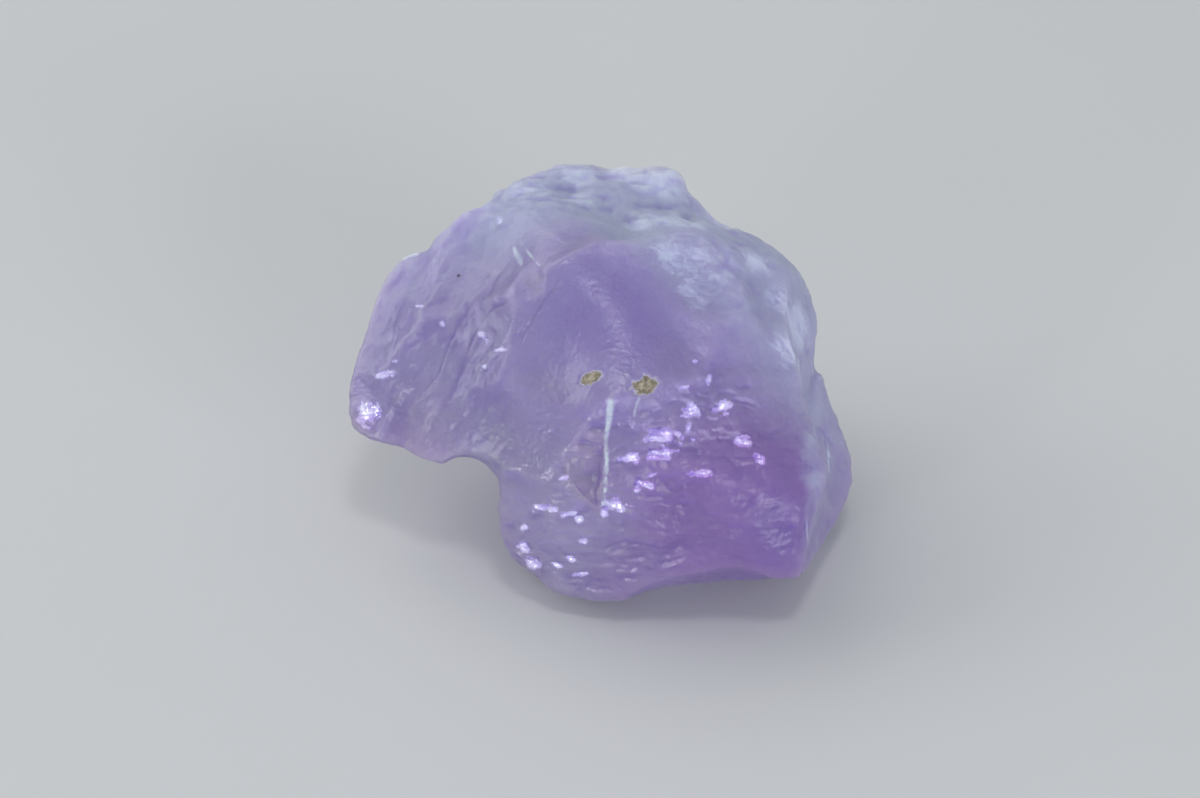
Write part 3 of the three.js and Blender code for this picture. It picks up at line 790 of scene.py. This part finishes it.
def milky(p):
    """Shares of the milky stone, behind the brow, down the back and at the right; and of the grey haze on
    the left above the foot, a greyer tone that is partly painted shade darkening the lamp-lit arm.
    """
    x, y, z = p.T
    brow = np.interp(x, *np.array(BROW, float).T)
    right = ramp(x, 0.5, 4)
    milk = ramp(y - brow + 9 - 3.6 * right, 0, 10.5 - 0.6 * right) * (1 - 0.4 * ramp(-x, 6, 13))
    haze_and_shade = (0.25 + 0.3 * ramp(-x, 1, 8)) * ramp(-x, -4, 2) * ramp(z, 8.5, 11.5) * (1 - milk)
    milk *= 1 - 0.35 * ramp(x, 2, 6) * ramp(-y, -9, -3)
    side_milk = 0.6 + 0.25 * noise(p * 0.5, 38)
    milk = np.maximum(milk, side_milk * ramp(x + 0.6 * noise(p * 0.8, 39), 12.7, 14.2))
    return milk * (ramp(z, 2, 12) * 0.5 + 0.5), haze_and_shade


def veiled(p):
    out = np.zeros(len(p))
    for middle, radius, strength in VEILS:
        r = np.linalg.norm(p - np.array(middle), axis=1) / (1.7 * radius)
        out = np.maximum(out, strength * np.clip(1 - r, 0, 1))
    return out


def ridge_glint_and_veins(p):
    """The painted highlight along the ridge, and the pale veins, which narrow to their ends."""
    out = fin_share(p)
    for line, wide in VEINS:
        gap, share = along(p, line)
        wide = wide * (0.45 + 0.55 * ramp(np.minimum(share, 1 - share), 0, 0.3))
        out = np.maximum(out, VEIN_SHARE * (1 - ramp(gap, 0.4 * wide, 1.3 * wide)))
    return out


def dark_lines(p):
    """The fleck, and the dark cracks."""
    out = near(p, FLECK, 0.08, 0.16)
    for line, _, wide in CRACKS[:-1]:
        gap, share = along(p, line)
        ends = ramp(np.minimum(share, 1 - share), 0, 0.2)
        out = np.maximum(out, CRACK_SHARE * (1 - ramp(gap, 0, 1.2 * wide)) * ends)
    return out


def paint(mesh, p, low):
    """Shares of each colour at each corner of the mesh; low is 1 in the creases, where shade is painted.
    """
    x, _, z = p.T
    milk, haze_and_shade = milky(p)
    deep = np.maximum(near(p, *DEEP_FRONT), DEEP_FOOT_SHARE * near(p, *DEEP_FOOT))
    painted_shade = SHADE_PAINTED_MIDDLE_SHARE * near(p, *SHADE_PAINTED_MIDDLE)
    in_wedge = 1 - ramp(lump_distance(bent(p), WEDGE_PLANES, WEDGE_SOFT / 2), 0.02, 0.16)
    pink = PINK_WEDGE_SHARE * in_wedge * (1 - ramp(z, 15, 17))
    ragged = chip_rim(p)
    shares = {
        "milk": milk,
        "veil": veiled(p),
        "deep": deep * (1 - 0.6 * ramp(x, 13, 13.8)),
        "pink": np.maximum(near(p, *PINK_ARM), pink),
        "tan": TAN_SHARE * near(p, *TAN_MARK),
        "ridge_glint_and_pale_marks": ridge_glint_and_veins(p),
        "dark": dark_lines(p),
        "grain": np.max([1 - ramp(grain_gap(p, grain), 0.7, 1.5) for grain in GRAINS], axis=0),
        # the chips: glossier, and painted with glint striae
        "chip_gloss_and_glint": np.max([chip_share(p, chip, ragged) for chip in CHIPS], axis=0),
        "low": low,
        "haze_and_shade": haze_and_shade,
        "painted_shade": np.maximum(painted_shade, SHADE_PAINTED_CORNER_SHARE * near(p, *SHADE_PAINTED_CORNER)),
        "pale": near(p, *PALE_ARM),
    }
    for name, share in shares.items():
        layer = mesh.attributes.new(name, "FLOAT", "POINT")
        layer.data.foreach_set("value", np.clip(share, 0, 1).astype(np.float32))


stone = bpy.data.objects.new("kunzite_stone", stone_mesh(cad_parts["crystal"]))
bpy.context.scene.collection.objects.link(stone)
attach(stone, "root")
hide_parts("crystal")


# ---------------------------------------------------------------- materials
class Graph:
    """A material with short calls for its nodes; a value is a number, a colour or a socket."""

    def __init__(self, name):
        self.material = bpy.data.materials.new(name)
        self.material.use_nodes = True
        self.tree = self.material.node_tree
        self.tree.nodes.clear()
        self.out = self.tree.nodes.new("ShaderNodeOutputMaterial")

    def node(self, kind, inputs=None, **settings):
        n = self.tree.nodes.new(kind)
        for key, value in settings.items():
            setattr(n, key, value)
        for key, value in (inputs or {}).items():
            self.put(n.inputs[key], value)
        return n

    def put(self, socket, value):
        if isinstance(value, bpy.types.NodeSocket):
            self.tree.links.new(value, socket)
        else:
            socket.default_value = value

    def math(self, kind, a, b=0.0, clamp=False):
        return self.node("ShaderNodeMath", {0: a, 1: b}, operation=kind, use_clamp=clamp).outputs[0]

    def add(self, a, b, clamp=False):
        return self.math("ADD", a, b, clamp)

    def less(self, a, b, clamp=False):
        return self.math("SUBTRACT", a, b, clamp)

    def times(self, a, b):
        return self.math("MULTIPLY", a, b)

    def ramp(self, value, low, high, a=0.0, b=1.0):
        inputs = {"Value": value, "From Min": low, "From Max": high, "To Min": a, "To Max": b}
        return self.node("ShaderNodeMapRange", inputs, interpolation_type="SMOOTHSTEP").outputs[0]

    def noise(self, vector, scale, detail=2.0, rough=0.5, distort=0.0):
        inputs = {"Vector": vector, "Scale": scale, "Detail": detail, "Roughness": rough}
        inputs["Distortion"] = distort
        return self.node("ShaderNodeTexNoise", inputs).outputs[0]

    def stretch(self, vector, scale, turn=(0, 0, 0)):
        inputs = {"Vector": vector, "Scale": scale, "Rotation": turn}
        return self.node("ShaderNodeMapping", inputs).outputs[0]

    def share(self, name):
        return self.node("ShaderNodeAttribute", attribute_name=name).outputs["Fac"]

    def mix(self, share, a, b):
        n = self.node("ShaderNodeMix", data_type="RGBA")
        self.put(n.inputs[0], share)
        self.put(n.inputs[6], a)
        self.put(n.inputs[7], b)
        return n.outputs[2]


def srgb(r, g, b):
    """Linear colour of 8-bit sRGB values."""
    def one(v):
        v /= 255
        return v / 12.92 if v <= 0.04045 else ((v + 0.055) / 1.055) ** 2.4
    return one(r), one(g), one(b), 1.0


VIOLET = srgb(190, 177, 228)
LILAC = srgb(184, 167, 224)
DEEP = srgb(174, 138, 214)
PALE = srgb(214, 206, 244)
PINK = srgb(204, 182, 216)
TAN = srgb(176, 152, 172)
# grey of the haze, partly painted shade on the arm
GREY_HAZE_SHADE = srgb(160, 157, 192)
MILK = srgb(171, 180, 201)
WHITE = srgb(194, 205, 216)
# colour of the painted glints on the chips
CHIP_GLINT = srgb(214, 219, 240)
# darker violet: the random mottle, and the painted shade in creases and on lamp-lit patches
SHADE = srgb(142, 118, 200)
INK = srgb(52, 40, 92)
GRAIN_DARK = srgb(112, 106, 86)
GRAIN_LIGHT = srgb(164, 154, 138)
PALE_RIM = srgb(226, 224, 232)
# How strongly each painted share colours the stone.
PALE_MIX = 0.4
PINK_MIX = 0.7
MILK_MIX = 0.88
VEIL_MIX = 0.4
CHIP_GLINT_MIX = 0.45
CREASE_SHADE_MIX = 0.30
SHADE_PAINTED_MIX = 0.72
MOTTLE_MIX = 0.12
RIM_MIX = 0.8
# Roughness of the skin. With a lower least value, denoised renders had dark specks.
ROUGH_LEAST, ROUGH_MOST = 0.29, 0.40
ROUGH_MILK = 0.18
ROUGH_GRAIN = 0.4
CHIP_GLOSS = 0.5  # share of the roughness that a chip lacks
# Share of the light that goes through, and what milk and veils take from it.
CLEAR = 0.55
CLEAR_LESS_MILK = 0.3
CLEAR_LESS_VEIL = 0.4
CLEAR_ON_CHIPS = 0.1
IOR = 1.66
SCATTER_RADIUS = (0.9, 0.7, 1.0)
SCATTER_SCALE = 0.006  # metres
INSIDE_COLOUR = (0.62, 0.40, 0.86, 1)
INSIDE_DENSITY = 17.0  # per metre
BUMP_STRENGTH = 0.6
BUMP_HEIGHT = 0.00013  # metres
STRIAE_ON_CHIPS = 0.5
LEVEL_HEIGHT = 0.5
TOOTH_HEIGHT = 0.7


def stone_colour(g, at, milk, veil, lines, core):
    cloud = g.noise(at, 130, 4, 0.55, 0.6)
    mottle = g.noise(at, 900, 4, 0.65)
    # violet, deeper at the lower right, with pale, pink and tan patches
    colour = g.mix(g.ramp(cloud, 0.36, 0.64), VIOLET, LILAC)
    deep = g.add(g.share("deep"), g.times(g.less(cloud, 0.5), 0.7))
    colour = g.mix(g.ramp(deep, 0.05, 0.95), colour, DEEP)
    colour = g.mix(g.times(g.share("pale"), PALE_MIX), colour, PALE)
    colour = g.mix(g.times(g.share("pink"), PINK_MIX), colour, PINK)
    colour = g.mix(g.times(g.share("tan"), g.ramp(mottle, 0.35, 0.6)), colour, TAN)
    # milk, haze, veils, the pale veins with the painted highlight on the ridge, and dark lines
    colour = g.mix(g.times(milk, MILK_MIX), colour, MILK)
    # grey haze on the left above the foot: a greyer tone, partly painted shade that darkens the lamp-lit
    # arm
    colour = g.mix(g.share("haze_and_shade"), colour, GREY_HAZE_SHADE)
    colour = g.mix(g.times(veil, VEIL_MIX), colour, WHITE)
    colour = g.mix(g.share("ridge_glint_and_pale_marks"), colour, WHITE)
    colour = g.mix(g.share("dark"), colour, INK)
    # painted highlights: pale glint striae on the chips; then the shaded places
    striae = g.times(g.share("chip_gloss_and_glint"), g.ramp(lines, 0.42, 0.6))
    colour = g.mix(g.times(striae, CHIP_GLINT_MIX), colour, CHIP_GLINT)
    colour = g.mix(g.ramp(mottle, 0.3, 0.7, 0.0, MOTTLE_MIX), colour, SHADE)
    # painted shade in the creases
    colour = g.mix(g.times(g.share("low"), CREASE_SHADE_MIX), colour, SHADE)
    # painted shade on the smooth middle and the lower right corner of the front
    colour = g.mix(g.times(g.share("painted_shade"), SHADE_PAINTED_MIX), colour, SHADE)
    # brown grains with pale rims
    speck = g.mix(g.ramp(g.noise(at, 2600, 3, 0.7), 0.35, 0.65), GRAIN_DARK, GRAIN_LIGHT)
    colour = g.mix(g.ramp(g.share("grain"), 0.25, 0.55, 0.0, RIM_MIX), colour, PALE_RIM)
    return g.mix(core, colour, speck)


def stone_roughness(g, at, milk, core):
    """Satin skin, glossier on the chips, dry on the milky parts and the grains."""
    rough = g.ramp(g.noise(at, 480, 3, 0.6), 0.35, 0.65, ROUGH_LEAST, ROUGH_MOST)
    rough = g.add(rough, g.times(milk, ROUGH_MILK))
    rough = g.times(rough, g.less(1.0, g.times(g.share("chip_gloss_and_glint"), CHIP_GLOSS)))
    return g.add(rough, g.times(core, ROUGH_GRAIN), clamp=True)


def stone_clearness(g, milk, veil, core):
    """Share of the light that goes through: less in milk and veils, nearly none in the chips."""
    clear = g.less(CLEAR, g.times(milk, CLEAR_LESS_MILK))
    ridge_glint_and_pale_marks = g.math("MAXIMUM", veil, g.share("ridge_glint_and_pale_marks"))
    clear = g.less(clear, g.times(ridge_glint_and_pale_marks, CLEAR_LESS_VEIL), clamp=True)
    clear = g.times(clear, g.less(1.0, core))
    return g.times(clear, g.ramp(g.share("chip_gloss_and_glint"), 0.0, 0.4, 1.0, CLEAR_ON_CHIPS))


def stone_bump(g, at, lines):
    """Fine tooth, level streaks, and close striae on the chips."""
    level = g.times(g.noise(g.stretch(at, (450, 450, 2400)), 1.0, 1, 0.5), LEVEL_HEIGHT)
    level = g.add(level, g.times(g.times(lines, g.share("chip_gloss_and_glint")), STRIAE_ON_CHIPS))
    height = g.add(level, g.times(g.noise(at, 2800, 1, 0.5), TOOTH_HEIGHT))
    inputs = {"Strength": BUMP_STRENGTH, "Distance": BUMP_HEIGHT, "Height": height}
    return g.node("ShaderNodeBump", inputs).outputs[0]


def stone_material():
    g = Graph("kunzite")
    at = g.node("ShaderNodeTexCoord").outputs["Object"]
    curd = g.noise(g.stretch(at, (1, 2.2, 0.5), (0.3, 0.6, 0)), 820, 6, 0.75, 1.4)
    torn = g.times(g.less(curd, 0.5), 1.5)
    milk = g.ramp(g.add(g.share("milk"), g.times(torn, 0.5)), 0.05, 0.95)
    veil = g.ramp(g.add(g.share("veil"), torn), 0.2, 0.8)
    lines = g.noise(g.stretch(at, (600, 5200, 5200)), 1.0, 1, 0.5)
    core = g.ramp(g.share("grain"), 0.6, 0.85)
    skin = g.node("ShaderNodeBsdfPrincipled", {
        "Base Color": stone_colour(g, at, milk, veil, lines, core),
        "Roughness": stone_roughness(g, at, milk, core),
        "Transmission Weight": stone_clearness(g, milk, veil, core),
        "Normal": stone_bump(g, at, lines),
        "IOR": IOR,
        "Subsurface Weight": 1.0,
        "Subsurface Radius": SCATTER_RADIUS,
        "Subsurface Scale": SCATTER_SCALE,
    })
    inside = {"Color": INSIDE_COLOUR, "Density": INSIDE_DENSITY}
    inside = g.node("ShaderNodeVolumeAbsorption", inside)
    g.tree.links.new(skin.outputs[0], g.out.inputs["Surface"])
    g.tree.links.new(inside.outputs[0], g.out.inputs["Volume"])
    return g.material


stone.data.materials.append(stone_material())


# ---------------------------------------------------------------- floor, light and camera
def plain(name, colour, rough):
    """Material of one colour with a very faint cloud in it."""
    g = Graph(name)
    tone = g.noise(g.node("ShaderNodeTexCoord").outputs["Object"], 40, 2)
    colour = g.mix(tone, colour, tuple(v * 1.03 for v in colour[:3]) + (1,))
    p = g.node("ShaderNodeBsdfPrincipled", {"Base Color": colour, "Roughness": rough})
    g.tree.links.new(p.outputs[0], g.out.inputs["Surface"])
    return g.material


FLOOR_HALF = 0.9  # metres
FLOOR_COLOUR = srgb(193, 193, 193)
FLOOR_ROUGH = 0.7
floor_mesh = bpy.data.meshes.new("floor")
corners = [(x * FLOOR_HALF, y * FLOOR_HALF, 0) for x, y in ((-1, -1), (1, -1), (1, 1), (-1, 1))]
floor_mesh.from_pydata(corners, [], [(0, 1, 2, 3)])
floor = bpy.data.objects.new("floor", floor_mesh)
floor_mesh.materials.append(plain("pale_floor", FLOOR_COLOUR, FLOOR_ROUGH))
bpy.context.scene.collection.objects.link(floor)


def placed(obj, place):
    """Puts a lamp or camera at its place, looking at the stone."""
    back = aim(*place[:2])
    side = np.cross([0, 0, 1], back)
    side /= np.linalg.norm(side)
    m = Matrix([list(r) for r in np.stack([side, np.cross(back, side), back], 1)]).to_4x4()
    m.translation = tuple(LOOKED_AT + back * place[2])
    obj.matrix_world = m
    bpy.context.scene.collection.objects.link(obj)
    return obj


def softbox(name, place, size, power, colour):
    """A round soft lamp, its size in metres and its power in watts."""
    data = bpy.data.lights.new(name, "AREA")
    data.shape = "DISK"
    data.size = size
    data.energy = power
    data.color = colour
    return placed(bpy.data.objects.new(name, data), place)


# Lamps: window light from behind on the left, then the three that the chips mirror, and a low
# fill that reflections leave out.
softbox("window", WINDOW, 0.8, 2.25, (1.0, 0.99, 0.97))
softbox("spark", SPARK, 0.1, 0.5, (0.97, 0.98, 1.0))
softbox("side", SIDE, 0.6, 2.1, (0.98, 0.99, 1.0))
softbox("kick", KICK, 0.1, 0.8, (0.98, 0.99, 1.0))
fill = softbox("fill", FILL, 0.55, 4.1, (0.94, 0.95, 1.0))
fill.visible_glossy = False

WORLD_COLOUR = (0.88, 0.94, 1.0, 1)
WORLD_STRENGTH = 0.54
world = bpy.data.worlds.new("studio")
world.use_nodes = True
background = world.node_tree.nodes["Background"]
background.inputs["Color"].default_value = WORLD_COLOUR
background.inputs["Strength"].default_value = WORLD_STRENGTH
scene = bpy.context.scene
scene.world = world
scene.view_settings.view_transform = "Standard"

camera_data = bpy.data.cameras.new("camera")
camera_data.lens = 100  # millimetres, as the sensor's width
camera_data.sensor_width = 36
camera_data.clip_start = 0.01
scene.camera = placed(bpy.data.objects.new("camera", camera_data), CAMERA)
